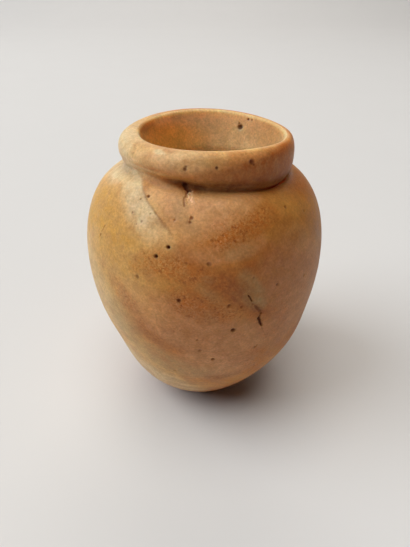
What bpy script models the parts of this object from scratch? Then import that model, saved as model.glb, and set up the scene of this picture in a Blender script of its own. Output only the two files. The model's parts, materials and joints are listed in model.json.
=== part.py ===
"""A small round-shouldered jar of banded alabaster, carved from one stone.

The jar stands on a small flat foot. Its wall swells to a high round shoulder, turns in to a tight
groove and ends in a rolled rim around a wide mouth. The inside is hollowed out below the neck.
The mouth flares up from the neck's bore to a crisp inner lip. Every section at one bearing is a
chain of superellipse arcs, outside and inside. The carver's hand shows as small, smooth changes
of those arcs around the axis. Metres, +Z up, standing on Z = 0, with the jar's best seen side
towards -Y.
"""

from math import cos, copysign, exp, pi, radians, sin

import bmesh
import bpy

MM = 0.001

# Body, outside
FOOT_RADIUS = 8.1 * MM
BELLY_RADIUS = 25.1 * MM
BELLY_HEIGHT = 37.9 * MM
NECK_HEIGHT = 56.65 * MM

# Walls and inside
BELLY_WALL = 4.6 * MM
SHOULDER_WALL = 4.4 * MM
NECK_WALL = 2.45 * MM
FLOOR_THICKNESS = 8.5 * MM

# Rolled rim
MOUTH_RADIUS = 11.95 * MM
RIM_THICKNESS = 4.9 * MM
RIM_HEIGHT = 6.6 * MM
RIM_SEAT = 0.5 * MM
LIP_ROUNDING = 0.75 * MM
LIP_END = radians(164)

# Fullness of the arcs: 2 is an ellipse, less is flatter and more is squarer
LOWER_FULLNESS_OUT = 1.66
LOWER_FULLNESS_UP = 1.68
SHOULDER_FULLNESS = 2.24
RIM_FULLNESS = 2.38
HOLLOW_FULLNESS = 2.1

# The carver's hand, as differences from a turned form and the bearings where they are greatest
RIM_OFF_CENTRE = 1.05 * MM
RIM_RISE = 0.66 * MM
RIM_RISE_BEARING = radians(182)
RIM_WAVE = 0.19 * MM
RIM_WAVE_BEARING = radians(88)
RIM_TALLER = 0.38 * MM
RIM_TALLER_BEARING = radians(-4)
RIM_BULGE = 0.19 * MM
RIM_BULGE_BEARING = radians(-58)
RIM_THICKER = 0.75 * MM
RIM_THICKER_BEARING = radians(144)
LIP_INSET = 0.15 * MM
LIP_SHIFT = 0.4 * MM
LIP_SHIFT_BEARING = radians(195)
SHOULDER_BLEND = 5
FOOT_SHIFT_X = -1.4 * MM
FOOT_SHIFT_Y = 1.3 * MM
FOOT_SHIFT_REACH = 12.8 * MM
FLANK_SHIFT = 0.5 * MM
FLANK_HEIGHT = 20.3 * MM
FLANK_REACH = 6.5 * MM

# Fineness of the mesh
SIDES = 64
LOWER_STEPS = 16
SHOULDER_STEPS = 12
RIM_STEPS = 7
LIP_STEPS = 3
FLARE_STEPS = 3
HOLLOW_STEPS = 11
BORE_STEPS = 2
RIM_START = radians(-84)

STONE_COLOUR = (0.42, 0.235, 0.105, 1.0)
STONE_ROUGHNESS = 0.5


def clear_scene():
    """Remove whatever the scene holds."""
    for thing in list(bpy.data.objects):
        bpy.data.objects.remove(thing, do_unlink=True)


def stone_material():
    """Polished calcite alabaster, worn to a soft sheen."""
    material = bpy.data.materials.new("alabaster")
    material.use_nodes = True
    shader = material.node_tree.nodes["Principled BSDF"]
    shader.inputs["Base Color"].default_value = STONE_COLOUR
    shader.inputs["Roughness"].default_value = STONE_ROUGHNESS
    shader.inputs["Metallic"].default_value = 0.0
    return material


def power(value, exponent):
    """A power that keeps the sign."""
    return copysign(abs(value) ** exponent, value)


def arc(centre, half_width, half_height, fullness_out, fullness_up, start, end, steps):
    """Points along a superellipse, as (radius, height), from one angle to another."""
    points = []
    for step in range(steps + 1):
        angle = start + (end - start) * step / steps
        radius = centre[0] + half_width * power(cos(angle), 2 / fullness_out)
        height = centre[1] + half_height * power(sin(angle), 2 / fullness_up)
        points.append((radius, height))
    return points


def swell(bearing, peak):
    """A change that is greatest at the peak's bearing and least across from it."""
    return cos(bearing - peak)


def section(bearing):
    """The whole section at one bearing, from the foot's edge to the middle of the hollow's floor.

    Each point is (radius, height, share), where the share says how far the point follows the
    rim's own centre instead of the body's.
    """
    half_thickness = RIM_THICKNESS / 2 + RIM_THICKER * swell(bearing, RIM_THICKER_BEARING)
    taller = RIM_TALLER * swell(bearing, RIM_TALLER_BEARING)
    bulge = RIM_BULGE * swell(2 * bearing, 2 * RIM_BULGE_BEARING)
    half_height = RIM_HEIGHT / 2 + taller + bulge
    rim_radius = MOUTH_RADIUS + RIM_THICKNESS / 2
    rise = RIM_RISE * swell(bearing, RIM_RISE_BEARING)
    wave = RIM_WAVE * swell(2 * bearing, 2 * RIM_WAVE_BEARING)
    rim_height = NECK_HEIGHT + RIM_SEAT + RIM_HEIGHT / 2 + rise + wave
    neck_radius = MOUTH_RADIUS + NECK_WALL
    neck_lift = rim_height - half_height - RIM_SEAT - NECK_HEIGHT

    lower = arc((FOOT_RADIUS, BELLY_HEIGHT), BELLY_RADIUS - FOOT_RADIUS, BELLY_HEIGHT,
                LOWER_FULLNESS_OUT, LOWER_FULLNESS_UP, -pi / 2, 0, LOWER_STEPS)
    shoulder = arc((neck_radius, BELLY_HEIGHT), BELLY_RADIUS - neck_radius, NECK_HEIGHT - BELLY_HEIGHT,
                   SHOULDER_FULLNESS, SHOULDER_FULLNESS, 0, pi / 2, SHOULDER_STEPS)
    crest_radius = rim_radius - LIP_INSET - LIP_SHIFT * swell(bearing, LIP_SHIFT_BEARING)
    top_width = rim_radius + half_thickness - crest_radius
    rim = arc((rim_radius, rim_height), half_thickness, half_height,
              RIM_FULLNESS, RIM_FULLNESS, RIM_START, 0, RIM_STEPS)
    top = arc((crest_radius, rim_height), top_width, half_height,
              RIM_FULLNESS, RIM_FULLNESS, 0, pi / 2, RIM_STEPS)
    lip_height = rim_height + half_height - LIP_ROUNDING
    lip = arc((crest_radius, lip_height), LIP_ROUNDING, LIP_ROUNDING, 2, 2, pi / 2, LIP_END, LIP_STEPS)

    bore_radius = MOUTH_RADIUS - RIM_THICKER * swell(bearing, RIM_THICKER_BEARING)
    hollow_radius = BELLY_RADIUS - BELLY_WALL
    hollow_top = NECK_HEIGHT - SHOULDER_WALL
    vault = arc((bore_radius, BELLY_HEIGHT), hollow_radius - bore_radius, hollow_top - BELLY_HEIGHT,
                HOLLOW_FULLNESS, HOLLOW_FULLNESS, pi / 2, 0, HOLLOW_STEPS)
    bowl = arc((0, BELLY_HEIGHT), hollow_radius, BELLY_HEIGHT - FLOOR_THICKNESS,
               HOLLOW_FULLNESS, HOLLOW_FULLNESS, 0, -pi / 2, HOLLOW_STEPS)

    points = [(radius, height, 0.0) for radius, height in lower]
    for radius, height in shoulder[1:]:
        across = (radius - neck_radius) / (BELLY_RADIUS - neck_radius)
        share = (1 - across) ** SHOULDER_BLEND
        points.append((radius, height + share * neck_lift, share))
    points += [(radius, height, 1.0) for radius, height in rim + top[1:] + lip[1:]]
    lip_radius, lip_foot = lip[-1]
    for step in range(1, FLARE_STEPS + 1):
        down = step / FLARE_STEPS
        radius = lip_radius + (bore_radius - lip_radius) * down
        height = lip_foot + (NECK_HEIGHT - lip_foot) * down
        points.append((radius, height, 1.0))
    for step in range(1, BORE_STEPS):
        height = NECK_HEIGHT + (hollow_top - NECK_HEIGHT) * step / BORE_STEPS
        points.append((bore_radius, height, 1.0))
    for radius, height in vault:
        share = (hollow_radius - radius) / (hollow_radius - bore_radius)
        points.append((radius, height, share))
    points += [(radius, height, 0.0) for radius, height in bowl[1:-1]]
    return points


def body_shift(height):
    """How far the body's centre strays from the axis at a height, as (x, y)."""
    foot = exp(-(height / FOOT_SHIFT_REACH) ** 2)
    flank = exp(-((height - FLANK_HEIGHT) / FLANK_REACH) ** 2)
    return FOOT_SHIFT_X * foot + FLANK_SHIFT * flank, FOOT_SHIFT_Y * foot


def build_vase():
    """Loft the sections around the axis and close the foot and the hollow's floor."""
    mesh = bpy.data.meshes.new("vase")
    vase = bpy.data.objects.new("vase", mesh)
    bpy.context.collection.objects.link(vase)
    shape = bmesh.new()

    columns = []
    for side in range(SIDES):
        bearing = 2 * pi * side / SIDES
        column = []
        for radius, height, share in section(bearing):
            shift_x, shift_y = body_shift(height)
            x = radius * cos(bearing) + RIM_OFF_CENTRE * share + shift_x
            y = radius * sin(bearing) + shift_y
            column.append(shape.verts.new((x, y, height)))
        columns.append(column)

    for side, column in enumerate(columns):
        following = columns[(side + 1) % SIDES]
        for low in range(len(column) - 1):
            shape.faces.new((column[low], following[low], following[low + 1], column[low + 1]))

    for end in (0, -1):
        ring = [column[end] for column in columns]
        edges = [shape.edges.get((ring[side - 1], ring[side])) for side in range(SIDES)]
        cap = bmesh.ops.contextual_create(shape, geom=edges)["faces"]
        bmesh.ops.poke(shape, faces=cap)

    bmesh.ops.recalc_face_normals(shape, faces=shape.faces)
    shape.to_mesh(mesh)
    shape.free()
    mesh.shade_smooth()
    mesh.materials.append(stone_material())
    return vase


clear_scene()
build_vase()
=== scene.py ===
"""A small alabaster jar: one carved stone, hollow, with a rolled rim, on a plain pale floor."""

import json
from math import atan2, cos, copysign, degrees, exp, pi, radians, sin

import bmesh
import bpy
import numpy as np
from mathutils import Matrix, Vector, noise

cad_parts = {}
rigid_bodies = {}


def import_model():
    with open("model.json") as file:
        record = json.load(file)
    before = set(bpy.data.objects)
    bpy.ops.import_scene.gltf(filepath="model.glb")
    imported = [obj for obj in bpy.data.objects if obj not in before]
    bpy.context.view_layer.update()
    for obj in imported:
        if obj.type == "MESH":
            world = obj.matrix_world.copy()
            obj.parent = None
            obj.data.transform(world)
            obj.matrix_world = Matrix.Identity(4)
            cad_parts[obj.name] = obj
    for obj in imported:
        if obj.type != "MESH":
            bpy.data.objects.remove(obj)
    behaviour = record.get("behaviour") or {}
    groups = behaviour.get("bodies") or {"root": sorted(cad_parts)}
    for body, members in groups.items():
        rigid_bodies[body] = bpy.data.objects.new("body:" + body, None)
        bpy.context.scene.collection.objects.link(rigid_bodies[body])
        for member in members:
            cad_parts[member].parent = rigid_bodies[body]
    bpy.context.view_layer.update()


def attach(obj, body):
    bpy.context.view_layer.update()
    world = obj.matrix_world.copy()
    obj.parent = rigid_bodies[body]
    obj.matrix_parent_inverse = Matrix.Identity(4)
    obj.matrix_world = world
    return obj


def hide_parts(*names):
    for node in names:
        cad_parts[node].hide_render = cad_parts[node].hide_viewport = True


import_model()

MM = 0.001

# The jar's sizes in millimetres, as it was carved
FOOT_RADIUS = 8.1
BELLY_RADIUS = 25.1
BELLY_HEIGHT = 37.9
NECK_HEIGHT = 56.65
BELLY_WALL = 4.6
SHOULDER_WALL = 4.4
NECK_WALL = 2.45
FLOOR_THICKNESS = 8.5
MOUTH_RADIUS = 11.95
RIM_THICKNESS = 4.9
RIM_HEIGHT = 6.6
RIM_SEAT = 0.5
LIP_ROUNDING = 0.75
LIP_END = radians(164)

# Fullness of the arcs: 2 is an ellipse, less is flatter and more is squarer
LOWER_FULLNESS_OUT = 1.66
LOWER_FULLNESS_UP = 1.68
SHOULDER_FULLNESS = 2.24
RIM_FULLNESS = 2.38
HOLLOW_FULLNESS = 2.1

# The carver's hand: differences in millimetres and the bearings where they are greatest
RIM_OFF_CENTRE = 1.05
RIM_RISE = 0.66
RIM_RISE_BEARING = radians(182)
RIM_WAVE = 0.19
RIM_WAVE_BEARING = radians(88)
RIM_TALLER = 0.38
RIM_TALLER_BEARING = radians(-4)
RIM_BULGE = 0.19
RIM_BULGE_BEARING = radians(-58)
RIM_THICKER = 0.75
RIM_THICKER_BEARING = radians(144)
LIP_INSET = 0.15
LIP_SHIFT = 0.4
LIP_SHIFT_BEARING = radians(195)
SHOULDER_BLEND = 5
FOOT_SHIFT_X = -1.4
FOOT_SHIFT_Y = 1.3
FOOT_SHIFT_REACH = 12.8
FLANK_SHIFT = 0.5
FLANK_HEIGHT = 20.3
FLANK_REACH = 6.5

# The fold between rim and shoulder climbs on the left of the front and runs out below the rim there
FOLD_CLIMB_LEFT = 2.05
FOLD_CLIMB_LEFT_BEARING = -131
FOLD_CLIMB_LEFT_REACH = 31
FOLD_CLIMB_FRONT = 1.0
FOLD_CLIMB_FRONT_BEARING = -76
FOLD_CLIMB_FRONT_REACH = 27
FOLD_EDGE_RADIUS = 22.5
FOLD_FULL_RADIUS = 17.3
FOLD_TOP = 1.5
FOLD_DEPTH = 4.8

# Fineness of the stone's mesh
COLUMNS = 280
FOOT_STEPS = 8
LOWER_STEPS = 92
SHOULDER_STEPS = 54
RIM_STEPS = 26
TOP_STEPS = 22
LIP_STEPS = 10
FLARE_STEPS = 14
BORE_STEPS = 5
HOLLOW_STEPS = 24
RIM_START = radians(-84)


# The profile

def power(value, exponent):
    """A power that keeps the sign."""
    return copysign(abs(value) ** exponent, value)


def arc(centre, half_width, half_height, fullness_out, fullness_up, start, end, steps):
    """Points along a superellipse, as (radius, height), from one angle to another."""
    points = []
    for step in range(steps + 1):
        angle = start + (end - start) * step / steps
        radius = centre[0] + half_width * power(cos(angle), 2 / fullness_out)
        height = centre[1] + half_height * power(sin(angle), 2 / fullness_up)
        points.append((radius, height))
    return points


def ease(amount):
    """Ease a number from 0 to 1."""
    held = min(max(amount, 0.0), 1.0)
    return held * held * (3.0 - 2.0 * held)


def around(bearing_degrees, peak, reach):
    """A soft bump around the axis, 1 at the peak's bearing; all in degrees."""
    apart = (bearing_degrees - peak + 180) % 360 - 180
    return np.exp(-(apart / reach) ** 2)


def fold_climb(bearing_degrees):
    """How far the fold climbs at a bearing, in mm."""
    left = FOLD_CLIMB_LEFT * around(bearing_degrees, FOLD_CLIMB_LEFT_BEARING, FOLD_CLIMB_LEFT_REACH)
    front = FOLD_CLIMB_FRONT * around(bearing_degrees, FOLD_CLIMB_FRONT_BEARING, FOLD_CLIMB_FRONT_REACH)
    return left + front


def section(bearing):
    """The section at one bearing: (radius, height, share), from under the foot to the hollow's floor.

    The share says how far a point follows the rim's own centre instead of the body's.
    """
    half_thickness = RIM_THICKNESS / 2 + RIM_THICKER * cos(bearing - RIM_THICKER_BEARING)
    taller = RIM_TALLER * cos(bearing - RIM_TALLER_BEARING)
    bulge = RIM_BULGE * cos(2 * bearing - 2 * RIM_BULGE_BEARING)
    half_height = RIM_HEIGHT / 2 + taller + bulge
    rise = RIM_RISE * cos(bearing - RIM_RISE_BEARING)
    wave = RIM_WAVE * cos(2 * bearing - 2 * RIM_WAVE_BEARING)
    rim_height = NECK_HEIGHT + RIM_SEAT + RIM_HEIGHT / 2 + rise + wave
    rim_radius = MOUTH_RADIUS + RIM_THICKNESS / 2
    neck_radius = MOUTH_RADIUS + NECK_WALL
    neck_lift = rim_height - half_height - RIM_SEAT - NECK_HEIGHT

    lower = arc((FOOT_RADIUS, BELLY_HEIGHT), BELLY_RADIUS - FOOT_RADIUS, BELLY_HEIGHT,
                LOWER_FULLNESS_OUT, LOWER_FULLNESS_UP, -pi / 2, 0, LOWER_STEPS)
    shoulder = arc((neck_radius, BELLY_HEIGHT), BELLY_RADIUS - neck_radius, NECK_HEIGHT - BELLY_HEIGHT,
                   SHOULDER_FULLNESS, SHOULDER_FULLNESS, 0, pi / 2, SHOULDER_STEPS)
    crest_radius = rim_radius - LIP_INSET - LIP_SHIFT * cos(bearing - LIP_SHIFT_BEARING)
    top_width = rim_radius + half_thickness - crest_radius
    rim = arc((rim_radius, rim_height), half_thickness, half_height,
              RIM_FULLNESS, RIM_FULLNESS, RIM_START, 0, RIM_STEPS)
    top = arc((crest_radius, rim_height), top_width, half_height,
              RIM_FULLNESS, RIM_FULLNESS, 0, pi / 2, TOP_STEPS)
    lip_height = rim_height + half_height - LIP_ROUNDING
    lip = arc((crest_radius, lip_height), LIP_ROUNDING, LIP_ROUNDING, 2, 2, pi / 2, LIP_END, LIP_STEPS)

    bore_radius = MOUTH_RADIUS - RIM_THICKER * cos(bearing - RIM_THICKER_BEARING)
    hollow_radius = BELLY_RADIUS - BELLY_WALL
    hollow_top = NECK_HEIGHT - SHOULDER_WALL
    vault = arc((bore_radius, BELLY_HEIGHT), hollow_radius - bore_radius, hollow_top - BELLY_HEIGHT,
                HOLLOW_FULLNESS, HOLLOW_FULLNESS, pi / 2, 0, HOLLOW_STEPS)
    bowl = arc((0, BELLY_HEIGHT), hollow_radius, BELLY_HEIGHT - FLOOR_THICKNESS,
               HOLLOW_FULLNESS, HOLLOW_FULLNESS, 0, -pi / 2, HOLLOW_STEPS)

    climb = fold_climb(degrees(bearing))
    points = [(FOOT_RADIUS * step / FOOT_STEPS, 0.0, 0.0) for step in range(FOOT_STEPS)]
    points += [(radius, height, 0.0) for radius, height in lower]
    for radius, height in shoulder[1:]:
        across = (radius - neck_radius) / (BELLY_RADIUS - neck_radius)
        share = (1 - across) ** SHOULDER_BLEND
        lift = climb * ease((FOLD_EDGE_RADIUS - radius) / (FOLD_EDGE_RADIUS - FOLD_FULL_RADIUS))
        points.append((radius, height + share * neck_lift + lift, share))
    for radius, height in rim + top[1:] + lip[1:]:
        lift = climb * ease((rim_height + FOLD_TOP - height) / FOLD_DEPTH)
        points.append((radius, height + lift, 1.0))
    lip_radius, lip_foot = lip[-1]
    for step in range(1, FLARE_STEPS + 1):
        down = step / FLARE_STEPS
        radius = lip_radius + (bore_radius - lip_radius) * down
        height = lip_foot + (NECK_HEIGHT - lip_foot) * down
        points.append((radius, height, 1.0))
    for step in range(1, BORE_STEPS):
        height = NECK_HEIGHT + (hollow_top - NECK_HEIGHT) * step / BORE_STEPS
        points.append((bore_radius, height, 1.0))
    for radius, height in vault:
        share = (hollow_radius - radius) / (hollow_radius - bore_radius)
        points.append((radius, height, share))
    points += [(radius, height, 0.0) for radius, height in bowl[1:]]
    return points


def placed(bearing, radius, height, share):
    """A section's point in space, with the body's and the rim's own drift from the axis."""
    foot = exp(-(height / FOOT_SHIFT_REACH) ** 2)
    flank = exp(-((height - FLANK_HEIGHT) / FLANK_REACH) ** 2)
    x = radius * cos(bearing) + RIM_OFF_CENTRE * share + FOOT_SHIFT_X * foot + FLANK_SHIFT * flank
    y = radius * sin(bearing) + FOOT_SHIFT_Y * foot
    return Vector((x, y, height))


# The rim's crest, as a place in the list of section points
CREST = FOOT_STEPS + LOWER_STEPS + 1 + SHOULDER_STEPS + RIM_STEPS + TOP_STEPS


def on_surface(bearing_degrees, height, inside=False):
    """The point of the jar's skin at a bearing from the axis in degrees and a height, out or in."""
    wanted = radians(bearing_degrees)
    bearing = wanted
    for _ in range(3):
        points = section(bearing)
        run = points[CREST:] if inside else points[FOOT_STEPS:CREST]
        low, high = min(zip(run, run[1:]), key=lambda pair: abs(pair[0][1] + pair[1][1] - 2 * height))
        part = min(max((height - low[1]) / ((high[1] - low[1]) or 1.0), 0.0), 1.0)
        spot = placed(bearing, *(start + (end - start) * part for start, end in zip(low, high)))
        slip = wanted - atan2(spot.y, spot.x)
        bearing += (slip + pi) % (2 * pi) - pi
    return spot


# Holes and cuts in the stone, as (bearing, height, radius, depth, dirt), in degrees and mm

PITS = [
    (-105, 50.8, 0.27, 0.60, 1.0),
    (-110, 49.1, 0.33, 0.55, 0.95),
    (-120, 57.2, 0.26, 0.28, 0.75),
    (-123.7, 56.6, 0.16, 0.12, 0.4),
    (-125.9, 54.5, 0.18, 0.15, 0.5),
    (-116.1, 55, 0.16, 0.12, 0.45),
    (-113.2, 55.1, 0.14, 0.10, 0.35),
    (-119.6, 53.7, 0.18, 0.14, 0.5),
    (-122, 53.1, 0.14, 0.10, 0.4),
    (-103.7, 54.7, 0.20, 0.12, 0.4),
    (-95.8, 55.1, 0.24, 0.16, 0.5),
    (-96.4, 54.5, 0.20, 0.14, 0.45),
    (-118, 44.8, 0.36, 0.16, 0.5),
    (-100, 41.8, 0.27, 0.30, 0.85),
    (-88, 48.6, 0.34, 0.16, 0.45),
    (-97, 48.6, 0.24, 0.14, 0.35),
    (-80, 40.8, 0.24, 0.22, 0.6),
    (-75, 40.1, 0.22, 0.18, 0.5),
    (-70, 45.4, 0.24, 0.14, 0.35),
    (-78, 34.9, 0.36, 0.40, 0.9),
    (-93, 32.7, 0.22, 0.22, 0.6),
    (-92, 29.6, 0.34, 0.16, 0.45),
    (-97, 30.8, 0.20, 0.12, 0.35),
    (-100, 34.9, 0.22, 0.12, 0.3),
    (-86, 26.7, 0.32, 0.32, 0.75),
    (-66, 28.4, 0.26, 0.26, 0.75),
    (-65.2, 28.8, 0.20, 0.18, 0.6),
    (-106, 20.8, 0.28, 0.12, 0.35),
    (-59, 42.8, 0.24, 0.20, 0.65),
    (-42, 41.6, 0.30, 0.14, 0.3),
    (-46, 54.5, 0.26, 0.14, 0.5),
    (-34, 52.6, 0.24, 0.14, 0.4),
    (-101, 61.7, 0.26, 0.20, 0.7),
    (-100.4, 62.1, 0.18, 0.14, 0.5),
    (-83, 62.0, 0.22, 0.24, 0.8),
    (-62, 62.4, 0.38, 0.30, 0.65),
    (-60.5, 61.9, 0.26, 0.22, 0.6),
    (-20, 38.0, 0.28, 0.22, 0.6),
    (18, 47.5, 0.24, 0.20, 0.6),
    (44, 33.0, 0.32, 0.26, 0.7),
    (62, 50.5, 0.22, 0.18, 0.6),
    (88, 41.0, 0.30, 0.24, 0.7),
    (107, 53.0, 0.24, 0.20, 0.6),
    (131, 36.5, 0.28, 0.22, 0.6),
    (158, 45.0, 0.24, 0.20, 0.6),
    (-168, 33.0, 0.28, 0.22, 0.6),
]

RIM_PITS_INSIDE = [
    (56, 60.9, 0.42, 0.45, 0.8),
    (57.5, 61.6, 0.24, 0.20, 0.5),
    (50, 62.6, 0.26, 0.22, 0.8),
    (46.5, 62.6, 0.22, 0.14, 0.5),
]

# Cuts as (trail of (bearing, height), half width, depth, dirt)
CUTS = [
    ([(-72.3, 42.3), (-71.5, 41.6), (-70.7, 40.9)], 0.13, 0.30, 0.95),
    ([(-70.3, 40.4), (-69.0, 39.8), (-67.8, 39.3)], 0.17, 0.07, 0.22),
    ([(-68.7, 39.4), (-67.6, 38.9), (-66.9, 38.3)], 0.24, 0.14, 0.42),
    ([(-66.3, 37.8), (-66.5, 37.2), (-67.0, 36.7)], 0.17, 0.22, 0.65),
    ([(-67.0, 36.6), (-66.2, 35.9), (-65.6, 35.2), (-65.0, 34.5)], 0.26, 0.36, 1.0),
    ([(-65.0, 34.0), (-63.0, 32.4), (-60.5, 30.2)], 0.10, 0.06, 0.14),
    ([(-141.3, 50.6), (-142.2, 50.0), (-142.6, 49.5)], 0.12, 0.10, 0.4),
    ([(-142.9, 49.0), (-143.4, 48.4)], 0.15, 0.14, 0.5),
    ([(-103.9, 58.4), (-101.7, 58.2), (-100.0, 58.0), (-98.9, 58)], 0.34, 0.26, 0.8),
    ([(-100.1, 57.9), (-100.2, 57.3), (-100.1, 56.6)], 0.20, 0.14, 0.35),
    ([(-96.1, 55.2), (-96.3, 54.5)], 0.16, 0.10, 0.3),
]

# The fresh break below the rim, where clean crystals catch the light; its pale colour also carries painted
# glints on the facets
CRYSTAL_TRAIL = [(-98.7, 57.9), (-98.0, 57.5), (-97.2, 57.0)]
CRYSTAL_REACH = 0.48
CRYSTAL_DEPTH = 0.22
CRYSTAL_SIZE = 0.34

# The wear of the whole surface: broad soft facets and a finer ripple, in mm
FACET_SIZE = 9.0
FACET_DEPTH = 0.10
RIPPLE_SIZE = 2.6
RIPPLE_DEPTH = 0.028

# How far a natural crack strays from its trail, and over what length it turns, in mm
CRACK_STRAY = 0.16
CRACK_TURN = 0.7

# How far from the rim's own centre the bottom of the groove lies where it is shallow, in mm. All
# stone nearer the centre than the bore side's radius is the wall of the mouth and is left alone.
SHALLOW_GROOVE_RADIUS = 17.0
FRONT_GROOVE_RADIUS = 15.7
FRONT_GROOVE_BEARING = -75
FRONT_GROOVE_REACH = 36
GROOVE_FILL = 0.8
GROOVE_FOOT = 54.5
GROOVE_TOP = 61.0
BORE_SIDE_RADIUS = 14.2

# The dark hairline along the upper edge of the cream layer
VEIN = [(-138, 59.4), (-131.6, 58.9), (-127.5, 58.4), (-123.5, 57.6), (-119.3, 56.5), (-115.6, 55.7),
        (-111.4, 54.7), (-107, 53.5), (-104, 52.6), (-102, 51.7), (-100.5, 50.7)]

# The cream layer below the vein, and the step and the dirt along the vein, in mm
CREAM_REACH = 2.3
CREAM_FADE = 3.4
CREAM_TOP = 59.3
HAIRLINE_HALF_WIDTH = 0.14
HAIRLINE_DEPTH = 0.03
HAIRLINE_DIRT = 0.38
LAYER_STEP = 0.05
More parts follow.
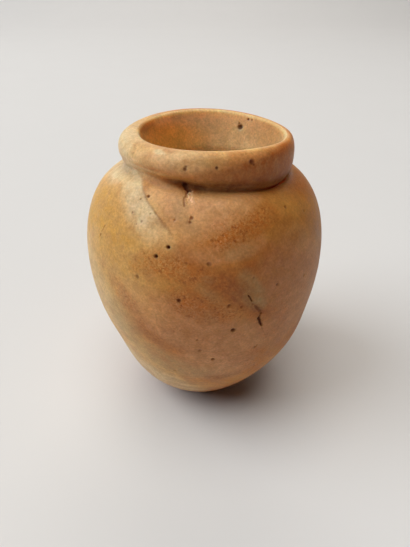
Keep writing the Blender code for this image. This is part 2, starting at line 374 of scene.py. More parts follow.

# Stains, with a painted highlight and some painted shade among them, as {name: [(trail of (bearing, height,
# half width, strength), soft edge)]}, in degrees and mm
STAINS = {
    "straw": [
        ([(-215, 46, 12, 0.8), (-180, 44, 13, 1.0), (-150, 46, 11, 1.0), (-133, 50, 7, 0.9),
          (-118.4, 54.2, 3.4, 0.8), (-102.4, 55.8, 2.4, 0.75), (-88.1, 56.4, 1.8, 0.7),
          (-75, 56.5, 1, 0.5)], 6.0),
        ([(-185, 28, 10, 0.9), (-158, 26, 9, 0.9), (-140, 20, 8, 0.7), (-120, 12, 5, 0.6),
          (-100, 8, 4, 0.4)], 8.0),
        ([(-230, 61, 3, 0.6), (-190, 61, 4, 0.9), (-150, 61, 4, 0.9), (-115, 62, 2, 0.35),
          (-95, 63, 1, 0.8), (-70, 63.4, 0.6, 0.7), (-45, 63.6, 0.6, 0.6)], 3.0),
    ],
    "tawny": [
        # Painted shade: this faint stroke below the rim on the left darkens the raised fold where it faces
        # the window
        ([(-142, 60.2, 0.6, 0.15), (-126, 60.6, 1.2, 0.35), (-108, 60.4, 1.2, 0.3)], 2.5),
        ([(-100, 60.0, 0.8, 0.3), (-78, 60.0, 1.2, 0.6), (-58, 60.2, 1.6, 0.9), (-36, 60.4, 1.8, 0.9),
          (-14, 60.5, 1.4, 0.5)], 2.4),
        ([(-57, 46, 4, 0.7), (-44, 43, 8, 0.95), (-30, 37, 9, 0.9), (-46, 31, 5, 0.6)], 8.0),
        ([(-63.7, 56.4, 0.6, 0.3), (-45.7, 55.5, 1.6, 0.6), (-28, 55.0, 2.0, 0.6),
          (-8, 54.0, 2.0, 0.4)], 3.0),
        ([(-94, 33, 3, 0.5), (-80, 30, 4, 0.6), (-62, 29, 4, 0.6)], 5.0),
        # Brown patches on the foot, deepened into painted shade along the bottom of the front
        ([(-112, 4, 2, 0.7), (-86, 5, 4, 1.0), (-62, 7, 4, 0.9), (-40, 11, 4, 0.5)], 5.0),
        ([(-106.7, 58.4, 0.3, 0.5), (-100.2, 58.1, 0.6, 0.9), (-95.2, 58, 0.4, 0.5)], 1.2),
        ([(10, 20, 4, 0.5), (50, 16, 5, 0.6), (100, 14, 4, 0.5)], 7.0),
    ],
    "ochre": [
        ([(-176, 50, 4, 0.5), (-160, 51.5, 3, 0.8), (-147, 52.4, 2.4, 1), (-137, 50.4, 2.4, 1),
          (-127, 48.2, 2.6, 0.9), (-119, 46.2, 3, 0.8), (-110, 45.5, 3.5, 0.7)], 4.0),
        ([(-140, 43, 4, 0.55), (-128, 41.5, 4, 0.5), (-117, 40.5, 3.5, 0.45)], 4.0),
        ([(-72, 53.6, 1.2, 0.35), (-55, 54.2, 2.4, 0.5), (-40, 52.0, 3, 0.5), (-25, 49, 3.5, 0.4)], 4.0),
        ([(60, 47, 5, 0.6), (95, 42, 6, 0.7), (125, 36, 5, 0.6)], 6.0),
    ],
    "blush": [
        ([(-115.7, 57.8, 0.4, 0.5), (-107.8, 57.3, 0.9, 0.8), (-98.6, 55.7, 2.0, 0.95),
          (-88.1, 55.4, 2.2, 0.85), (-75, 56.5, 1.6, 0.7), (-61.4, 57.1, 0.6, 0.4)], 2.4),
        ([(-96, 52.2, 0.8, 0.6), (-92, 51.0, 0.6, 0.5)], 1.6),
        ([(-97, 50.2, 0.6, 0.5), (-88, 50.0, 0.8, 0.8), (-78, 50.6, 0.8, 0.7), (-66, 51.0, 0.6, 0.4)], 1.8),
        ([(-118, 38.5, 3, 0.5), (-108, 37.0, 3.5, 0.7), (-97, 35.0, 4, 0.7), (-84, 32.0, 4, 0.7),
          (-70, 31.0, 3, 0.6)], 4.0),
        ([(-92, 24, 3.5, 0.8), (-78, 23.5, 3.5, 0.8)], 4.0),
        ([(-50, 44, 5, 0.5), (-40, 38, 6, 0.6), (-48, 32, 4, 0.5)], 5.0),
        ([(10, 40, 6, 0.5), (40, 30, 6, 0.5)], 6.0),
    ],
    "rust": [
        ([(-92, 51.8, 0.3, 0.3), (-88, 51.9, 0.5, 0.5), (-84, 51.9, 0.7, 0.8), (-80, 52.1, 0.8, 1.0),
          (-76, 52.7, 1.0, 1.0), (-71, 53.2, 1.1, 1.0), (-65, 53.8, 1.3, 0.9),
          (-58.4, 54.4, 1.4, 0.5)], 1.6),
        ([(-88, 53.0, 0.4, 0.3), (-82, 53.5, 0.8, 0.4), (-74.2, 54.2, 1.0, 0.45)], 2.0),
        ([(-118, 46.6, 0.6, 0.5), (-112, 48.0, 1.0, 0.7), (-104, 47.8, 1.2, 0.75), (-97, 47.0, 1.2, 0.8),
          (-90, 46.5, 0.9, 0.7)], 2.2),
        ([(-101, 42.4, 1.0, 0.6), (-96, 41.4, 1.6, 1.0), (-90, 40.2, 1.7, 1.0), (-83, 39.4, 1.2, 0.8),
          (-76, 38.4, 0.8, 0.4)], 2.4),
        ([(-88, 45.0, 0.6, 0.6), (-83, 45.2, 0.9, 0.8), (-78, 43.6, 1.2, 0.7)], 1.8),
        ([(-57, 37.5, 0.8, 0.6), (-53, 34, 0.9, 0.6), (-58, 31.5, 0.7, 0.5), (-63, 31.5, 0.5, 0.4)], 1.2),
        ([(-68, 26.5, 1.0, 0.5), (-64, 21.5, 1.4, 0.7), (-60, 18, 1.2, 0.5)], 2.4),
        ([(-130, 41.5, 0.8, 0.45), (-124, 38.5, 1.0, 0.6)], 2.0),
        ([(150, 41, 1.5, 0.6), (132, 44, 2.0, 0.7), (112, 43, 1.4, 0.5)], 3.0),
    ],
    "umber": [
        ([(-71.5, 40.4, 0.2, 0.6), (-69.5, 39.6, 0.4, 0.9), (-67.6, 38.8, 0.4, 1.0),
          (-66.8, 37.2, 0.2, 0.8), (-66.0, 35.6, 0.3, 0.8)], 0.9),
        ([(-102.3, 58.1, 0.2, 0.4), (-99.4, 57.8, 0.3, 0.8), (-95.2, 57.8, 0.2, 0.5)], 1.2),
        ([(-124.5, 40.5, 0.6, 0.2), (-121.5, 38.0, 0.8, 0.35), (-119, 35.2, 0.7, 0.5),
          (-116.5, 32.6, 0.7, 0.8), (-112, 31.3, 0.8, 0.8), (-106, 30.6, 0.5, 0.5),
          (-99, 29.6, 0.4, 0.3)], 1.8),
        ([(-87.5, 45.2, 0.4, 0.5), (-84, 46.2, 0.7, 0.7), (-80, 46.9, 0.5, 0.6), (-75, 47.1, 0.3, 0.5),
          (-69, 46.8, 0.3, 0.4), (-66, 47.8, 0.3, 0.3)], 0.9),
        ([(-84.5, 45.0, 0.8, 0.6), (-80, 44.4, 1.3, 0.8), (-76.5, 43.0, 1.4, 0.9),
          (-74, 41.4, 1.0, 0.7)], 1.8),
        ([(-102, 49.6, 0.5, 0.3), (-98, 50.4, 0.6, 0.4), (-95, 49.0, 0.6, 0.3),
          (-90, 48.2, 0.7, 0.3)], 1.5),
        ([(-88, 19.6, 0.6, 0.6), (-83, 18.9, 0.8, 0.9), (-77, 19.3, 0.8, 0.9), (-72, 19.6, 0.6, 0.8)], 0.9),
        ([(-108, 15.6, 0.6, 0.5), (-98, 15.0, 0.6, 0.5)], 1.2),
        ([(-114, 12.6, 0.5, 0.4), (-103, 12.0, 0.6, 0.7), (-92, 11.6, 0.5, 0.6),
          (-82, 12.0, 0.4, 0.3)], 0.9),
        ([(-107, 33.6, 0.3, 0.4), (-104, 34.6, 0.4, 0.5), (-101.5, 36.0, 0.3, 0.4)], 0.8),
        ([(-50, 49.5, 0.5, 0.3), (-46, 50.2, 0.6, 0.4), (-42, 49.2, 0.5, 0.3)], 1.2),
        ([(70, 27, 1.0, 0.6), (86, 24, 1.4, 0.7), (104, 23, 0.8, 0.5)], 2.0),
        ([(160, 30, 1.0, 0.5), (174, 34, 1.4, 0.6)], 2.5),
    ],
    "grey": [
        ([(-103.5, 57.2, 0.5, 0.5), (-102, 56.2, 0.7, 0.7), (-101, 55.2, 0.6, 0.5)], 1.2),
        ([(-73.5, 45.8, 0.8, 0.8), (-72.2, 43.8, 1.4, 1.0), (-69.5, 41.6, 1.4, 1.0),
          (-67, 39.8, 0.8, 0.9)], 1.3),
        ([(-81, 50.5, 0.6, 0.5), (-77, 50.4, 0.9, 0.7), (-72, 50.2, 0.7, 0.5)], 1.4),
        ([(-91, 46.3, 0.3, 0.6), (-88.5, 45.9, 0.5, 0.9), (-87, 45.7, 0.2, 0.6)], 0.7),
        ([(-90, 44.0, 0.4, 0.4), (-88, 43.2, 0.8, 0.6), (-86.5, 42.2, 0.5, 0.5)], 1.0),
        ([(-118, 26, 2.5, 0.7), (-108, 23.6, 2.4, 0.8), (-98, 21.8, 1.6, 0.8), (-89, 21.0, 1.0, 0.6)], 2.5),
        ([(-97, 63.2, 0.3, 0.4), (-87, 63.0, 0.5, 0.8), (-78, 63.0, 0.3, 0.5)], 0.8),
        ([(-97.4, 54.1, 0.6, 0.5), (-94, 53.3, 0.8, 0.4)], 1.2),
        ([(-130, 34, 2.5, 0.6), (-126, 29, 2.5, 0.7)], 2.5),
        ([(35, 55, 2, 0.5), (60, 54, 2, 0.5)], 3.0),
    ],
    "cream": [
        ([(-195, 60, 3, 0.5), (-178, 60, 3.5, 0.8), (-160, 60, 3.5, 0.85), (-146, 60.3, 2.6, 0.45),
          (-128, 62.6, 0.8, 0.3), (-110, 63.2, 0.5, 0.5), (-95, 63.4, 0.4, 0.4)], 2.6),
        # Painted highlight: this short pale stroke on the rim's top edge at front left stands in for the
        # lamp's glint there
        ([(-124, 63.5, 0.1, 0.5), (-120, 63.6, 0.35, 1.0), (-115, 63.5, 0.1, 0.7)], 0.5),
        ([(-150, 18, 3, 0.3), (-135, 15, 3, 0.5), (-115, 13, 3, 0.5), (-100, 10, 1.5, 0.3)], 4.0),
        ([(168, 54.5, 2.0, 0.65), (150, 51.0, 2.6, 0.55), (130, 46.6, 2.2, 0.4), (112, 41, 2.8, 0.45),
          (92, 33, 2.0, 0.3), (70, 24, 1.5, 0.1)], 5.0),
        ([(-160, 42, 3, 0.3), (-148, 38, 3, 0.35), (-136, 32, 2.5, 0.35)], 4.0),
        ([(10, 60.5, 1.5, 0.5), (40, 61, 1.5, 0.5)], 2.0),
    ],
}

# Painted glow (honey) and painted shade inside the mouth, in the same form as the stains
PAINTED_GLOW_INSIDE = [
    ([(178, 61.5, 1.2, 0.7), (160, 61.0, 1.4, 0.9), (140, 59.5, 1.8, 1.0), (120, 58.8, 2.0, 0.8),
      (100, 58, 1.6, 0.4)], 3.0),
]
SHADE_INSIDE = [
    ([(36, 60.8, 1.4, 0.3), (22, 60.6, 1.6, 0.45), (8, 60.4, 1.4, 0.35)], 3.0),
    ([(176, 63.4, 0.5, 0.6), (164, 63.2, 0.7, 0.7), (150, 62.9, 0.5, 0.4)], 1.0),
]


def smooth(amount):
    """Ease a number or an array from 0 to 1."""
    held = np.clip(amount, 0.0, 1.0)
    return held * held * (3.0 - 2.0 * held)


def smooth_trail(places, pieces=8):
    """A smooth curve through places that each hold the same number of values."""
    ends = [places[0]] + list(places) + [places[-1]]
    rows = np.array(ends, dtype=float)
    trail = []
    for start in range(1, len(rows) - 2):
        before, here, there, after = rows[start - 1:start + 3]
        for piece in range(pieces):
            t = piece / pieces
            value = 0.5 * (2 * here + (there - before) * t
                           + (2 * before - 5 * here + 4 * there - after) * t ** 2
                           + (3 * here - before - 3 * there + after) * t ** 3)
            trail.append(tuple(value))
    trail.append(tuple(rows[-2]))
    return trail


def distances(points, centre):
    return np.linalg.norm(points - np.array(centre), axis=1)


def stained(points, strokes, inside=False):
    """How strongly the strokes lie on each point, from 0 to 1."""
    amount = np.zeros(len(points))
    for places, edge in strokes:
        for bearing, height, half_width, strength in smooth_trail(places):
            away = distances(points, on_surface(bearing, height, inside))
            amount = np.maximum(amount, strength * smooth(1 - (away - half_width) / edge))
    return amount


def sunk(points, trail, half_width):
    """The share of a cut's depth at each point: a trail of spots, narrower and wider along it."""
    share = np.zeros(len(points))
    for centre in trail:
        breadth = half_width * (1.0 + 0.5 * noise.noise(Vector(centre) / 0.45))
        away = distances(points, centre)
        share = np.maximum(share, np.exp(-(away / breadth) ** 4))
    return share


def straying(trail):
    """The same trail with the small turns of a natural crack."""
    starts = (Vector((0, 0, 0)), Vector((19, 4, 0)), Vector((0, 23, 8)))
    return [spot + CRACK_STRAY * Vector([noise.noise(spot / CRACK_TURN + start) for start in starts])
            for spot in trail]


def below_vein(points, vein):
    """The cream layer: crisp at the vein, soft at its far edge, weaker down the trail.

    Also how far each point lies from the vein, across it (positive on the cream side) and in all.
    """
    centres = np.array([list(centre) for centre in vein])
    along = np.gradient(centres, axis=0)
    along /= np.linalg.norm(along, axis=1)[:, None]
    out = centres * [1.0, 1.0, 0.0]
    out /= np.linalg.norm(out, axis=1)[:, None]
    across = np.cross(along, out)
    squared = ((points[:, None, :] - centres[None, :, :]) ** 2).sum(axis=2)
    nearest = squared.argmin(axis=1)
    away = np.sqrt(squared[np.arange(len(points)), nearest])
    offset = points - centres[nearest]
    side = (offset * across[nearest]).sum(axis=1)
    down_trail = nearest / (len(centres) - 1)
    strength = 0.86 - 0.76 * smooth((down_trail - 0.48) / 0.34)
    crisp = smooth(side / 0.3 + 0.5)
    soft = smooth(1 - (away - CREAM_REACH) / CREAM_FADE)
    beyond_start = smooth((points[:, 2] - CREAM_TOP) / 0.6)
    return strength * crisp * soft * (1 - beyond_start), side, away


# Making the stone

def lofted_stone():
    """Spin the profile around the axis, then move each point to the hand-carved shape."""
    shape = bmesh.new()
    ring_of = shape.verts.layers.int.new("ring")
    chain = []
    for ring, (radius, height, _share) in enumerate(section(0.0)):
        vertex = shape.verts.new((radius, 0.0, height))
        vertex[ring_of] = ring
        chain.append(vertex)
    edges = [shape.edges.new(pair) for pair in zip(chain, chain[1:])]
    bmesh.ops.spin(shape, geom=chain + edges, cent=(0, 0, 0), axis=(0, 0, 1), dvec=(0, 0, 0),
                   angle=2 * pi, steps=COLUMNS, use_merge=True, use_duplicate=False)

    sections = [section(2 * pi * column / COLUMNS) for column in range(COLUMNS)]
    for vertex in shape.verts:
        bearing = atan2(vertex.co.y, vertex.co.x)
        column = round(bearing / (2 * pi) * COLUMNS) % COLUMNS
        vertex.co = placed(2 * pi * column / COLUMNS, *sections[column][vertex[ring_of]])
    bmesh.ops.remove_doubles(shape, verts=shape.verts, dist=0.0005)
    bmesh.ops.recalc_face_normals(shape, faces=shape.faces)
    return shape


def refine_near(shape, centres, reach, cuts):
    """Divide the faces whose middle lies within a reach in mm of any of the centres."""
    middles = np.array([list(face.calc_center_median()) for face in shape.faces])
    near = np.zeros(len(middles), dtype=bool)
    for centre in centres:
        near |= distances(middles, centre) < reach
    shape.faces.ensure_lookup_table()
    touching = [edge for place in np.flatnonzero(near) for edge in shape.faces[place].edges]
    once_each = list(dict.fromkeys(touching))
    bmesh.ops.subdivide_edges(shape, edges=once_each, cuts=cuts, use_grid_fill=True)


def worn(point):
    """How far the surface is worn in at a point, in mm: broad soft facets and a finer ripple."""
    broad = noise.noise(Vector(point) / FACET_SIZE) * 0.5 + 0.5
    ripple = noise.noise(Vector(point) / RIPPLE_SIZE + Vector((7, 3, 11))) * 0.5 + 0.5
    return FACET_DEPTH * broad + RIPPLE_DEPTH * ripple


def faceted(point):
    """Small flat breaks in fresh crystal, from 0 to 1."""
    return min(noise.voronoi(Vector(point) / CRYSTAL_SIZE)[0][0] * 1.3, 1.0)


def fill_groove(points, bearings):
    """Fill the groove under the rim: most on the left, where it was hardly cut, and less in front."""
    from_centre = points - [RIM_OFF_CENTRE, 0.0, 0.0]
    radii = np.hypot(from_centre[:, 0], from_centre[:, 1])
    turned = bearings % 360
    left = smooth((turned - 160) / 22) * smooth((259 - turned) / 16)
    heights = points[:, 2]
    near_groove = smooth((heights - GROOVE_FOOT) / 1.5) * smooth((GROOVE_TOP - heights) / 1.0)
    under = (radii > BORE_SIDE_RADIUS) * near_groove
    growth = left * np.maximum(SHALLOW_GROOVE_RADIUS - radii, 0.0)
    front = around(bearings, FRONT_GROOVE_BEARING, FRONT_GROOVE_REACH)
    growth = np.maximum(growth, front * np.maximum(FRONT_GROOVE_RADIUS - radii, 0.0))
    growth = GROOVE_FILL * under * growth
    outward = from_centre * [1.0, 1.0, 0.0] / np.maximum(radii, 0.001)[:, None]
    return points + outward * growth[:, None]


def stone_object():
    """The whole jar as one mesh object, with its stains, painted shade and painted glow kept as attributes
    of its points.
    """
    outer_pits = [([on_surface(b, z)], radius, depth, dirt) for b, z, radius, depth, dirt in PITS]
    inner_pits = [([on_surface(b, z, True)], radius, depth, dirt)
                  for b, z, radius, depth, dirt in RIM_PITS_INSIDE]
    cuts = [(straying([on_surface(b, z) for b, z in smooth_trail(places, 16)]), half_width, depth, dirt)
            for places, half_width, depth, dirt in CUTS]
    carved = outer_pits + inner_pits + cuts
    fresh_crystal_and_glints = [on_surface(b, z) for b, z in smooth_trail(CRYSTAL_TRAIL)]
    vein = [on_surface(b, z) for b, z in smooth_trail(VEIN)]

    shape = lofted_stone()
    fine_spots = [centre for trail, *_ in carved for centre in trail]
    cut_spots = [centre for trail, *_ in cuts for centre in trail]
    refine_near(shape, fine_spots + fresh_crystal_and_glints, reach=0.85, cuts=3)
    refine_near(shape, cut_spots, reach=0.42, cuts=1)
    refine_near(shape, vein, reach=0.5, cuts=1)

    mesh = bpy.data.meshes.new("alabaster_jar")
    shape.to_mesh(mesh)
    shape.free()
    count = len(mesh.vertices)
    points = np.empty(count * 3)
    mesh.vertices.foreach_get("co", points)
    points = points.reshape(-1, 3)
    normals = np.empty(count * 3, dtype=np.float32)
    mesh.vertex_normals.foreach_get("vector", normals)
    normals = normals.reshape(-1, 3)

    bearings = np.degrees(np.arctan2(points[:, 1], points[:, 0]))
    points = fill_groove(points, bearings)
    stains = {name: stained(points, strokes) for name, strokes in STAINS.items()}
    cream, side, away = below_vein(points, vein)
    stains["cream"] = np.maximum(stains["cream"], cream)
    hairline = np.exp(-(side / HAIRLINE_HALF_WIDTH) ** 2) * smooth(1 - (away - 0.3) / 0.3)
    heights = points[:, 2]
    hairline *= smooth((bearings + 131) / 8) * smooth((-101 - bearings) / 5)

    sink = np.array([worn(point) for point in points])
    dirt = HAIRLINE_DIRT * hairline
    sink += HAIRLINE_DEPTH * hairline
    above_vein = smooth(0.5 - side / 0.5) * smooth(1 - away / 4.0) * smooth((away + side) / 0.5 + 1)
    sink += LAYER_STEP * above_vein
    for trail, half_width, depth, blackness in carved:
        share = sunk(points, trail, half_width)
        sink += depth * share
        dirt = np.maximum(dirt, blackness * sunk(points, trail, half_width * 1.12))
    broken = sunk(points, fresh_crystal_and_glints, CRYSTAL_REACH)
    sparkle = np.zeros(count)
    for place in np.flatnonzero(broken > 0.02):
        sparkle[place] = faceted(points[place])
        broken[place] *= ease(0.95 + 1.5 * noise.noise(Vector(points[place]) / 0.4))
    sink += CRYSTAL_DEPTH * broken * (0.35 + sparkle)
    sink[heights < 0.3] = 0.0
    points -= normals * sink[:, None]
    mesh.vertices.foreach_set("co", (points * MM).ravel())

    radii = np.hypot(points[:, 0] - RIM_OFF_CENTRE, points[:, 1])
    radial = points * [1.0, 1.0, 0.0]
    radial /= np.maximum(np.linalg.norm(radial, axis=1), 0.001)[:, None]
    facing_in = -(normals * radial).sum(axis=1)
    indoors = np.maximum(smooth(facing_in / 0.3 - 0.2), (heights < 14) * (normals[:, 2] > 0.3))
    indoors *= heights > 8.2
    # Painted shade: a dark band along the fold under the rim, weak on the left and strongest across the
    # front and front right, where the rim shades the shoulder
    above_fold = heights - 57.4 - 0.95 * fold_climb(bearings)
    painted_shade_under_rim = np.exp(-(above_fold / 1.3) ** 2)
    painted_shade_under_rim *= smooth((radii - 13.4) / 0.6) * smooth((18.6 - radii) / 1.5)
    painted_shade_under_rim *= 0.2 + 0.8 * smooth((bearings + 112) / 22) * smooth((20 - bearings) / 40)
    # The inside mask also carries a painted paler tone, a painted glow; the honey strokes are painted glow
    # and the shade strokes painted shade
    stains["indoors"] = indoors
    stains["painted_shade_under_rim"] = painted_shade_under_rim
    stains["painted_glow"] = stained(points, PAINTED_GLOW_INSIDE, True) * indoors
    stains["shade"] = stained(points, SHADE_INSIDE, True) * indoors
    stains["dirt"] = dirt
    # Fresh crystal's own pale colour, with painted glints on its facets
    stains["fresh_crystal_and_glints"] = broken * smooth(1.2 - sparkle)
    for name, amount in stains.items():
        if name not in ("indoors", "painted_glow", "shade", "dirt", "fresh_crystal_and_glints"):
            amount = amount * (1 - indoors)
        layer = mesh.attributes.new(name, "FLOAT", "POINT")
        layer.data.foreach_set("value", amount.astype(np.float32))
    mesh.shade_smooth()
    jar = bpy.data.objects.new("alabaster_jar", mesh)
    bpy.context.collection.objects.link(jar)
    return jar


# Materials

def linear(hex_colour):
    """An sRGB hex colour such as "c8a070" as linear RGBA."""
    channels = [int(hex_colour[place:place + 2], 16) / 255 for place in (0, 2, 4)]
    return tuple(c / 12.92 if c <= 0.04045 else ((c + 0.055) / 1.055) ** 2.4 for c in channels) + (1.0,)


def add_node(tree, kind, settings=None, inputs=None):
    """Add one node with its settings, and fill its inputs with values or links."""
    node = tree.nodes.new(kind)
    for name, value in (settings or {}).items():
        setattr(node, name, value)
    for name, value in (inputs or {}).items():
        if isinstance(value, bpy.types.NodeSocket):
            tree.links.new(value, node.inputs[name])
        else:
            node.inputs[name].default_value = value
    return node


def per_metre(size_in_mm):
    """The scale of a pattern whose marks are about this many millimetres across."""
    return 1000.0 / size_in_mm


# The stone grew in layers, which lie square to this direction
LAYER_DIRECTION = (0.78, 0.14, 0.61)
LAYER_THICKNESS = 3.4
LAMINA_THICKNESS = 0.85
BEND_SIZE = 11.0
BEND_DEPTH = 5.0
CLOUD_SIZE = 7.0
MOTTLE_SIZE = 2.2
SPECKLE_SIZE = 0.42
FRECKLE_SIZE = 0.75
RUBBING_SIZE = 0.5
GRAIN_SIZE = 0.26
CARD_CLOUD_SIZE = 60.0

GROUND = "c67f38"
PALE_GROUND = "cc914c"
DEEP_GROUND = "b26a26"
SOIL = "5c2606"
# Inside the mouth: a painted paler tone and a painted honey glow, and painted shade
PAINTED_GLOW_PALE_INSIDE = "e8c690"
PAINTED_GLOW_COLOUR = "f0b458"
INNER_SHADE = "bc8040"
FRECKLE = "843e12"
FRESH_CRYSTAL_AND_GLINT = "ffce9c"
CARD = "dddddd"
CARD_FIBRE = "dbdbdb"

# Each stain, and the painted shade under the rim, as (attribute, colour, size of its grain in mm, how solid
# it is, how grainy it is)
PIGMENTS = [
    ("straw", "daae70", 5.0, 1.0, 0.2),
    ("tawny", "a65e1e", 2.0, 0.85, 0.5),
    ("ochre", "cc9a4c", 3.0, 0.7, 0.4),
    ("blush", "d6a070", 2.6, 0.6, 0.3),
    ("cream", "dcc296", 2.4, 1.0, 0.3),
    ("grey", "b08c58", 1.8, 0.6, 0.5),
    ("rust", "b66a28", 0.45, 0.6, 1.15),
    ("umber", "965420", 0.8, 0.5, 0.7),
    # Painted shade under the rim, mixed in like a stain
    ("painted_shade_under_rim", "703808", 1.2, 0.6, 0.4),
]


def calcite_alabaster():
    """Banded calcite alabaster, carved, rubbed smooth and long buried.

    Light goes a few millimetres into it, so edges and the thin rim glow and the shade turns orange.
    The worn polish gives a broad soft sheen. Iron stains sit in the grain as fine specks.
    """
    material = bpy.data.materials.new("calcite_alabaster")
    material.use_nodes = True
    tree = material.node_tree
    shader = tree.nodes["Principled BSDF"]
    place = add_node(tree, "ShaderNodeTexCoord").outputs["Object"]

    # Layers of growth, bent a little, with thin laminae in them
    depth = add_node(tree, "ShaderNodeVectorMath", {"operation": "DOT_PRODUCT"},
                     {0: place, 1: [1000 * part for part in LAYER_DIRECTION]}).outputs["Value"]
    bend = add_node(tree, "ShaderNodeTexNoise", None,
                    {"Vector": place, "Scale": per_metre(BEND_SIZE), "Detail": 3.0}).outputs["Fac"]
    bent = add_node(tree, "ShaderNodeMath", {"operation": "MULTIPLY_ADD"},
                    {0: bend, 1: BEND_DEPTH, 2: depth}).outputs[0]
    layers = add_node(tree, "ShaderNodeTexNoise", {"noise_dimensions": "1D"},
                      {"W": bent, "Scale": 1 / LAYER_THICKNESS, "Detail": 2.0}).outputs["Fac"]
    laminae = add_node(tree, "ShaderNodeTexNoise", {"noise_dimensions": "1D"},
                       {"W": bent, "Scale": 1 / LAMINA_THICKNESS, "Detail": 1.0}).outputs["Fac"]
    clouds = add_node(tree, "ShaderNodeTexNoise", None,
                      {"Vector": place, "Scale": per_metre(CLOUD_SIZE), "Detail": 5.0,
                       "Roughness": 0.6}).outputs["Fac"]
    mottle = add_node(tree, "ShaderNodeTexNoise", None,
                      {"Vector": place, "Scale": per_metre(MOTTLE_SIZE), "Detail": 4.0,
                       "Roughness": 0.62}).outputs["Fac"]
    speckle = add_node(tree, "ShaderNodeTexNoise", None,
                       {"Vector": place, "Scale": per_metre(SPECKLE_SIZE), "Detail": 2.0,
                        "Roughness": 0.6}).outputs["Fac"]
    rubbed = add_node(tree, "ShaderNodeMapping", None,
                      {"Vector": place, "Scale": (0.06, 0.06, 1.0)}).outputs[0]
    rubbing = add_node(tree, "ShaderNodeTexNoise", None,
                       {"Vector": rubbed, "Scale": per_metre(RUBBING_SIZE), "Detail": 3.0}).outputs["Fac"]
    grain = add_node(tree, "ShaderNodeTexNoise", None,
                     {"Vector": place, "Scale": per_metre(GRAIN_SIZE), "Detail": 1.0}).outputs["Fac"]

    pale = add_node(tree, "ShaderNodeMapRange", None,
                    {"Value": layers, "From Min": 0.42, "From Max": 0.68, "To Max": 0.75}).outputs[0]
    colour = add_node(tree, "ShaderNodeMix", {"data_type": "RGBA"},
                      {0: pale, 6: linear(GROUND), 7: linear(PALE_GROUND)}).outputs[2]
    deep = add_node(tree, "ShaderNodeMapRange", None,
                    {"Value": clouds, "From Min": 0.45, "From Max": 0.75, "To Max": 0.55}).outputs[0]
    colour = add_node(tree, "ShaderNodeMix", {"data_type": "RGBA"},
                      {0: deep, 6: colour, 7: linear(DEEP_GROUND)}).outputs[2]

    # Stains spread unevenly, so each is thicker and thinner from place to place
    torn = add_node(tree, "ShaderNodeMapRange", None,
                    {"Value": mottle, "From Min": 0.35, "From Max": 0.6,
                     "To Min": 0.62, "To Max": 1.25}).outputs[0]
    for attribute, pigment, grain_size, solid, grainy in PIGMENTS:
        spread = add_node(tree, "ShaderNodeAttribute", {"attribute_name": attribute}).outputs["Fac"]
        crumbs = add_node(tree, "ShaderNodeTexNoise", None,
                          {"Vector": place, "Scale": per_metre(grain_size), "Detail": 5.0,
                           "Roughness": 0.75}).outputs["Fac"]
        broken = add_node(tree, "ShaderNodeMapRange", None,
                          {"Value": crumbs, "From Min": 0.35, "From Max": 0.65,
                           "To Min": solid - grainy / 2, "To Max": solid + grainy / 2}).outputs[0]
        patchy = add_node(tree, "ShaderNodeMath", {"operation": "MULTIPLY"},
                          {0: spread, 1: torn}).outputs[0]
        cover = add_node(tree, "ShaderNodeMath", {"operation": "MULTIPLY", "use_clamp": True},
                         {0: patchy, 1: broken}).outputs[0]
        colour = add_node(tree, "ShaderNodeMix", {"data_type": "RGBA"},
                          {0: cover, 6: colour, 7: linear(pigment)}).outputs[2]

    # The hollow's walls are painted paler, a painted glow for light shining through the thin wall, with a
    # brighter painted honey glow on the left and back, and painted shade on the left lip and the inner
    # right wall
    indoors = add_node(tree, "ShaderNodeAttribute", {"attribute_name": "indoors"}).outputs["Fac"]
    paled_by_painted_glow = add_node(tree, "ShaderNodeMath", {"operation": "MULTIPLY"}, {0: indoors, 1: 0.85}).outputs[0]
    colour = add_node(tree, "ShaderNodeMix", {"data_type": "RGBA"},
                      {0: paled_by_painted_glow, 6: colour, 7: linear(PAINTED_GLOW_PALE_INSIDE)}).outputs[2]
    painted_glow = add_node(tree, "ShaderNodeAttribute", {"attribute_name": "painted_glow"}).outputs["Fac"]
    colour = add_node(tree, "ShaderNodeMix", {"data_type": "RGBA"},
                      {0: painted_glow, 6: colour, 7: linear(PAINTED_GLOW_COLOUR)}).outputs[2]
    shade = add_node(tree, "ShaderNodeAttribute", {"attribute_name": "shade"}).outputs["Fac"]
    colour = add_node(tree, "ShaderNodeMix", {"data_type": "RGBA"},
                      {0: shade, 6: colour, 7: linear(INNER_SHADE)}).outputs[2]

    # Laminae, mottle, specks and marks of rubbing as light and dark in the stone's own colour
    for pattern, low, high in ((laminae, 0.975, 1.02), (mottle, 0.87, 1.11),
                               (speckle, 0.85, 1.12), (rubbing, 0.965, 1.03)):
        tone = add_node(tree, "ShaderNodeMapRange", None,
                        {"Value": pattern, "From Min": 0.3, "From Max": 0.7,
                         "To Min": low, "To Max": high}).outputs[0]
        colour = add_node(tree, "ShaderNodeMix", {"data_type": "RGBA", "blend_type": "MULTIPLY"},
                          {0: 1.0, 6: colour, 7: tone}).outputs[2]

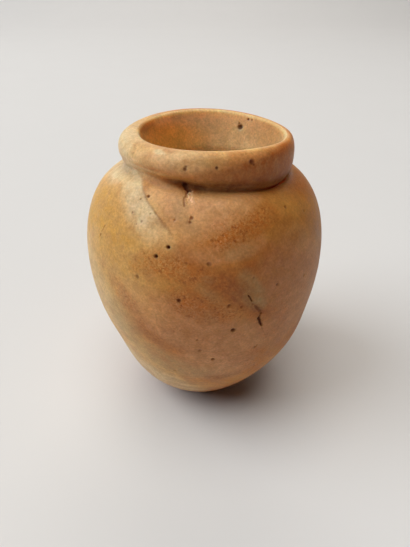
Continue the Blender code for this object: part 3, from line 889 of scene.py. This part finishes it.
    # Iron has gathered in the pores, most of all where the stone is stained
    iron = add_node(tree, "ShaderNodeAttribute", {"attribute_name": "rust"}).outputs["Fac"]
    prone = add_node(tree, "ShaderNodeMath", {"operation": "MULTIPLY_ADD", "use_clamp": True},
                     {0: iron, 1: 0.75, 2: 0.16}).outputs[0]
    pores = add_node(tree, "ShaderNodeTexNoise", None,
                     {"Vector": place, "Scale": per_metre(FRECKLE_SIZE), "Detail": 3.0,
                      "Roughness": 0.7}).outputs["Fac"]
    freckles = add_node(tree, "ShaderNodeMapRange", None,
                        {"Value": pores, "From Min": 0.55, "From Max": 0.68, "To Max": 0.85}).outputs[0]
    freckled = add_node(tree, "ShaderNodeMath", {"operation": "MULTIPLY"},
                        {0: freckles, 1: prone}).outputs[0]
    colour = add_node(tree, "ShaderNodeMix", {"data_type": "RGBA"},
                      {0: freckled, 6: colour, 7: linear(FRECKLE)}).outputs[2]

    # Paler fresh crystal in the break, partly painted glints on its facets
    fresh_crystal_and_glints = add_node(tree, "ShaderNodeAttribute", {"attribute_name": "fresh_crystal_and_glints"}).outputs["Fac"]
    colour = add_node(tree, "ShaderNodeMix", {"data_type": "RGBA"},
                      {0: fresh_crystal_and_glints, 6: colour, 7: linear(FRESH_CRYSTAL_AND_GLINT)}).outputs[2]
    dirt = add_node(tree, "ShaderNodeAttribute", {"attribute_name": "dirt"}).outputs["Fac"]
    colour = add_node(tree, "ShaderNodeMix", {"data_type": "RGBA"},
                      {0: dirt, 6: colour, 7: linear(SOIL)}).outputs[2]
    tree.links.new(colour, shader.inputs["Base Color"])

    polish = add_node(tree, "ShaderNodeMapRange", None,
                      {"Value": mottle, "From Min": 0.3, "From Max": 0.7,
                       "To Min": 0.42, "To Max": 0.58}).outputs[0]
    dull = add_node(tree, "ShaderNodeMath", {"operation": "MULTIPLY_ADD", "use_clamp": True},
                    {0: dirt, 1: 0.35, 2: polish}).outputs[0]
    keen = add_node(tree, "ShaderNodeMath", {"operation": "MULTIPLY_ADD", "use_clamp": True},
                    {0: fresh_crystal_and_glints, 1: -0.3, 2: dull}).outputs[0]
    tree.links.new(keen, shader.inputs["Roughness"])

    pocks = add_node(tree, "ShaderNodeBump", None,
                     {"Strength": 0.35, "Distance": 0.00012, "Height": speckle}).outputs["Normal"]
    fine = add_node(tree, "ShaderNodeBump", None,
                    {"Strength": 0.25, "Distance": 0.00005, "Height": grain,
                     "Normal": pocks}).outputs["Normal"]
    tree.links.new(fine, shader.inputs["Normal"])

    shader.inputs["IOR"].default_value = 1.56
    shader.inputs["Specular IOR Level"].default_value = 0.25
    shader.inputs["Subsurface Weight"].default_value = 0.85
    shader.inputs["Subsurface Radius"].default_value = (0.9, 0.6, 0.34)
    shader.inputs["Subsurface Scale"].default_value = 0.0050
    return material


def white_card():
    """Matt white card: an even pale ground that takes a soft shadow."""
    material = bpy.data.materials.new("white_card")
    material.use_nodes = True
    tree = material.node_tree
    shader = tree.nodes["Principled BSDF"]
    place = add_node(tree, "ShaderNodeTexCoord").outputs["Object"]
    fibre = add_node(tree, "ShaderNodeTexNoise", None,
                     {"Vector": place, "Scale": per_metre(CARD_CLOUD_SIZE), "Detail": 2.0}).outputs["Fac"]
    colour = add_node(tree, "ShaderNodeMix", {"data_type": "RGBA"},
                      {0: fibre, 6: linear(CARD), 7: linear(CARD_FIBRE)}).outputs[2]
    tree.links.new(colour, shader.inputs["Base Color"])
    shader.inputs["Roughness"].default_value = 0.85
    shader.inputs["Specular IOR Level"].default_value = 0.2
    return material


# The scene, in metres

SHEET_HALF_WIDTH = 4.0
SWEEP_START = 2.6
SWEEP_BEND = 1.5
SWEEP_HEIGHT = 3.0


# The lens in pixels of a frame 547 pixels high, and its place and tilt
FRAME_HEIGHT = 547
LENS_IN_PIXELS = 411
SENSOR_WIDTH = 36.0
CAMERA_PLACE = (0.129 * MM, -79.26 * MM, 85.32 * MM)
CAMERA_DOWN = 34.69


def clear_lights_and_cameras():
    """Remove lights and cameras that the start-up file may hold."""
    for thing in list(bpy.data.objects):
        if thing.type in ("LIGHT", "CAMERA"):
            bpy.data.objects.remove(thing, do_unlink=True)


def add_light(name, turn_degrees, elevation_degrees, distance, size, power_watts, colour):
    """A round soft light, turned from the left towards the camera and raised, aimed at the jar."""
    turn = radians(turn_degrees)
    elevation = radians(elevation_degrees)
    place = Vector((-cos(turn) * cos(elevation), -sin(turn) * cos(elevation), sin(elevation))) * distance
    data = bpy.data.lights.new(name, "AREA")
    data.shape = "DISK"
    data.size = size
    data.energy = power_watts
    data.color = linear(colour)[:3]
    light = bpy.data.objects.new(name, data)
    light.location = place
    light.rotation_euler = (Vector((0, 0, 0.03)) - place).to_track_quat("-Z", "Y").to_euler()
    bpy.context.collection.objects.link(light)


def set_lights():
    add_light("window", 6, 46, 3.0, 2.3, 57.0, "f8fcff")
    add_light("ceiling", 60, 83, 2.0, 1.6, 22.0, "fff8ef")
    add_light("far_wall", -90, 36, 2.5, 2.0, 15.5, "fff5ea")
    world = bpy.data.worlds.new("room")
    world.use_nodes = True
    tree = world.node_tree
    dim_room = tree.nodes["Background"]
    dim_room.inputs["Color"].default_value = linear("fffcf8")
    dim_room.inputs["Strength"].default_value = 0.02
    # Where nothing stands behind the jar, the eye sees a pale wall that sheds no light
    pale_wall = add_node(tree, "ShaderNodeBackground", None, {"Color": linear("d9d6d1"), "Strength": 1.0})
    seen = add_node(tree, "ShaderNodeLightPath").outputs["Is Camera Ray"]
    both = add_node(tree, "ShaderNodeMixShader", None,
                    {0: seen, 1: dim_room.outputs[0], 2: pale_wall.outputs[0]})
    tree.links.new(both.outputs[0], tree.nodes["World Output"].inputs["Surface"])
    bpy.context.scene.world = world
    bpy.context.scene.view_settings.view_transform = "Standard"


def set_stage():
    """A wide sheet of card that lies flat under the jar and sweeps up far behind it."""
    shape = bmesh.new()
    bmesh.ops.create_grid(shape, x_segments=1, y_segments=1, size=SHEET_HALF_WIDTH)
    far_edge = max(shape.edges, key=lambda edge: edge.verts[0].co.y + edge.verts[1].co.y)
    bmesh.ops.translate(shape, verts=far_edge.verts, vec=(0, SWEEP_START - SHEET_HALF_WIDTH, 0))
    wall = bmesh.ops.extrude_edge_only(shape, edges=[far_edge])["geom"]
    raised = [part for part in wall if isinstance(part, bmesh.types.BMVert)]
    bmesh.ops.translate(shape, verts=raised, vec=(0, 0.1, SWEEP_HEIGHT))
    bmesh.ops.bevel(shape, geom=[far_edge], offset=SWEEP_BEND, segments=24, profile=0.5,
                    affect="EDGES", material=-1)
    bmesh.ops.recalc_face_normals(shape, faces=shape.faces)
    mesh = bpy.data.meshes.new("floor")
    shape.to_mesh(mesh)
    shape.free()
    mesh.shade_smooth()
    floor = bpy.data.objects.new("floor", mesh)
    bpy.context.collection.objects.link(floor)
    mesh.materials.append(white_card())


def set_camera():
    """A phone's main lens, looking down at the jar from close by."""
    data = bpy.data.cameras.new("camera")
    data.sensor_width = SENSOR_WIDTH
    data.lens = SENSOR_WIDTH * LENS_IN_PIXELS / FRAME_HEIGHT
    data.clip_start = 0.001
    data.dof.use_dof = False
    camera = bpy.data.objects.new("camera", data)
    camera.location = CAMERA_PLACE
    camera.rotation_euler = (radians(90 - CAMERA_DOWN), 0, 0)
    bpy.context.collection.objects.link(camera)
    bpy.context.scene.camera = camera


clear_lights_and_cameras()
set_camera()
set_lights()
set_stage()

jar = stone_object()
jar.data.materials.append(calcite_alabaster())
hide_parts("vase")
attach(jar, "root")
